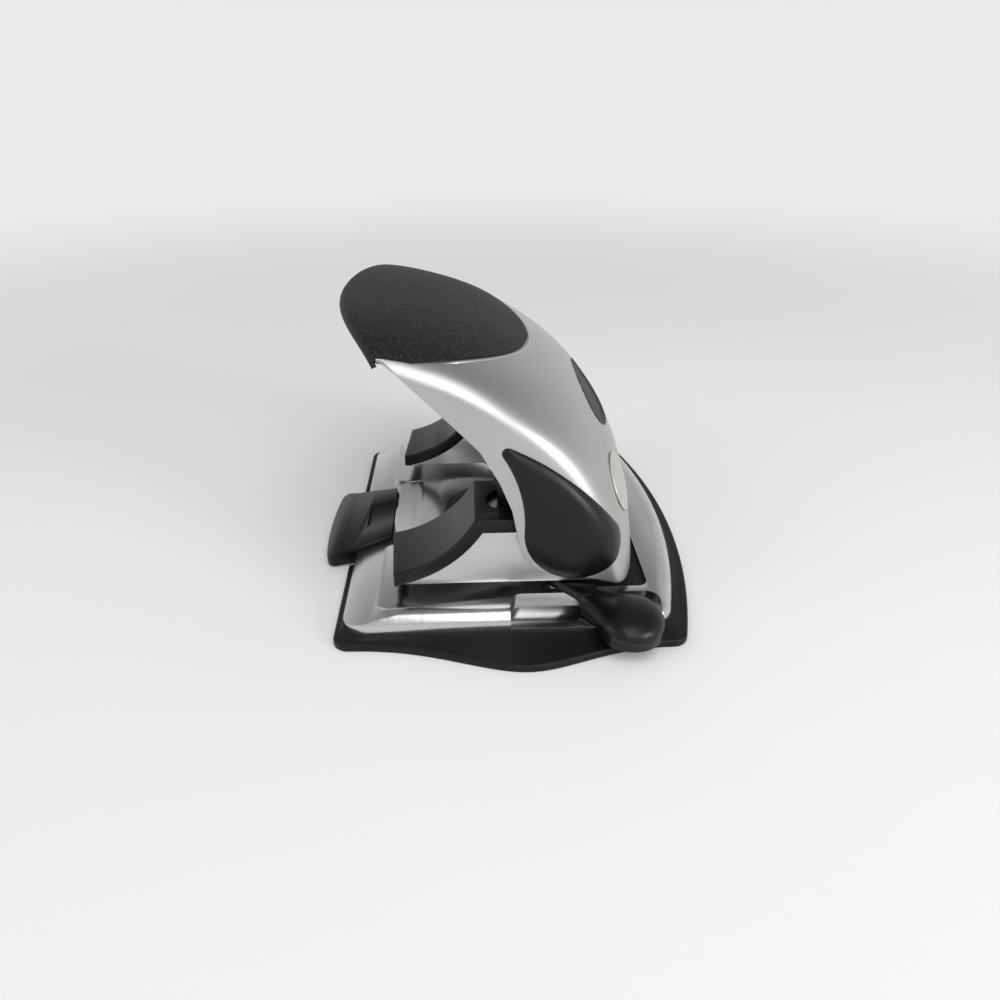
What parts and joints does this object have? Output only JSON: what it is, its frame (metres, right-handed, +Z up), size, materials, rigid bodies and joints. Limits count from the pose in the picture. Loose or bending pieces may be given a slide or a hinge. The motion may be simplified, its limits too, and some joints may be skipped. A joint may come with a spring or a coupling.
{
  "type": "two-hole punch",
  "caption": "Desk hole punch with a broad hooded handle over sprung punching heads, a polished deck, a rubber skirt, a lock lever and a hinged chip tray.",
  "frame": {"origin": "on the table under the point midway between the two punched holes, which is the middle of the foot", "axes": "+X from the left head to the right one (lock lever side), +Y from the paper's side to the back, +Z up"},
  "size_m": [0.1526, 0.123, 0.0898],
  "materials": {
    "polished_deck": "polished",
    "satin_silver": "satin metallic paint",
    "black_plastic": "fine moulded grain",
    "tray_plastic": "matt",
    "grip_rubber": "matt, soft touch",
    "skirt_rubber": "matt",
    "black_steel": "satin black",
    "bright_steel": "bright zinc",
    "spring_steel": "drawn wire",
    "bright_inlay": "brushed"
  },
  "bodies": {
    "base": {"base_cover": "polished_deck", "base_plate": "black_steel", "base_screws": "bright_steel", "base_skirt": "skirt_rubber", "bracket_screws": "bright_steel", "centre_disc": "bright_inlay", "centre_ring": "black_plastic", "die_left": "bright_steel", "die_right": "bright_steel", "guide_plate_left": "bright_steel", "guide_plate_right": "bright_steel", "head_bracket_left": "bright_steel", "head_bracket_right": "bright_steel", "head_cap_left": "black_plastic", "head_cap_right": "black_plastic", "hinge_clips": "bright_steel", "hinge_pin": "bright_steel", "paper_stop": "black_steel", "return_spring_left": "spring_steel", "return_spring_right": "spring_steel", "tray_hinge_pins": "bright_steel"},
    "handle": {"handle_shell": "satin_silver", "grip_pad": "grip_rubber", "side_insert_left": "black_plastic", "side_insert_right": "black_plastic", "spine_dish": "black_plastic", "rear_badge": "bright_inlay", "lever_frame": "black_steel", "press_roller_left": "bright_steel", "press_roller_right": "bright_steel", "roller_pins": "bright_steel", "frame_screws": "bright_steel"},
    "pin_left": {"punch_pin_left": "bright_steel", "pin_clip_left": "bright_steel"},
    "pin_right": {"punch_pin_right": "bright_steel", "pin_clip_right": "bright_steel"},
    "lock": {"lock_lever": "black_plastic", "lock_spindle": "bright_steel", "lock_clip": "bright_steel"},
    "tray": {"chip_tray": "tray_plastic", "tray_tab": "black_plastic"}
  },
  "joints": [
    {"name": "handle_hinge", "type": "hinge", "parent": "base", "child": "handle", "pos_m": [0, 0.018, 0.0324], "axis": [1, 0, 0], "range_deg": [0, 25], "stiffness_Nm_per_rad": 0.8, "springref_deg": -28.65},
    {"name": "pin_left_slide", "type": "slide", "parent": "base", "child": "pin_left", "axis": [0, 0, -1], "range_m": [0, 0.00825], "deforming": ["return_spring_left"]},
    {"name": "pin_right_slide", "type": "slide", "parent": "base", "child": "pin_right", "axis": [0, 0, -1], "range_m": [0, 0.00825], "deforming": ["return_spring_right"]},
    {"name": "lock_swing", "type": "hinge", "parent": "base", "child": "lock", "pos_m": [0.047, 0.0146, 0.0075], "axis": [0, 0, 1], "range_deg": [-55, 0]},
    {"name": "tray_hinge", "type": "hinge", "parent": "base", "child": "tray", "pos_m": [0, 0.0446, 0.0024], "axis": [1, 0, 0], "range_deg": [0, 60]}
  ],
  "couplings": [
    {"joint": "pin_left_slide", "follows": "handle_hinge", "m_per_rad": 0.01889},
    {"joint": "pin_right_slide", "follows": "handle_hinge", "m_per_rad": 0.01889}
  ]
}
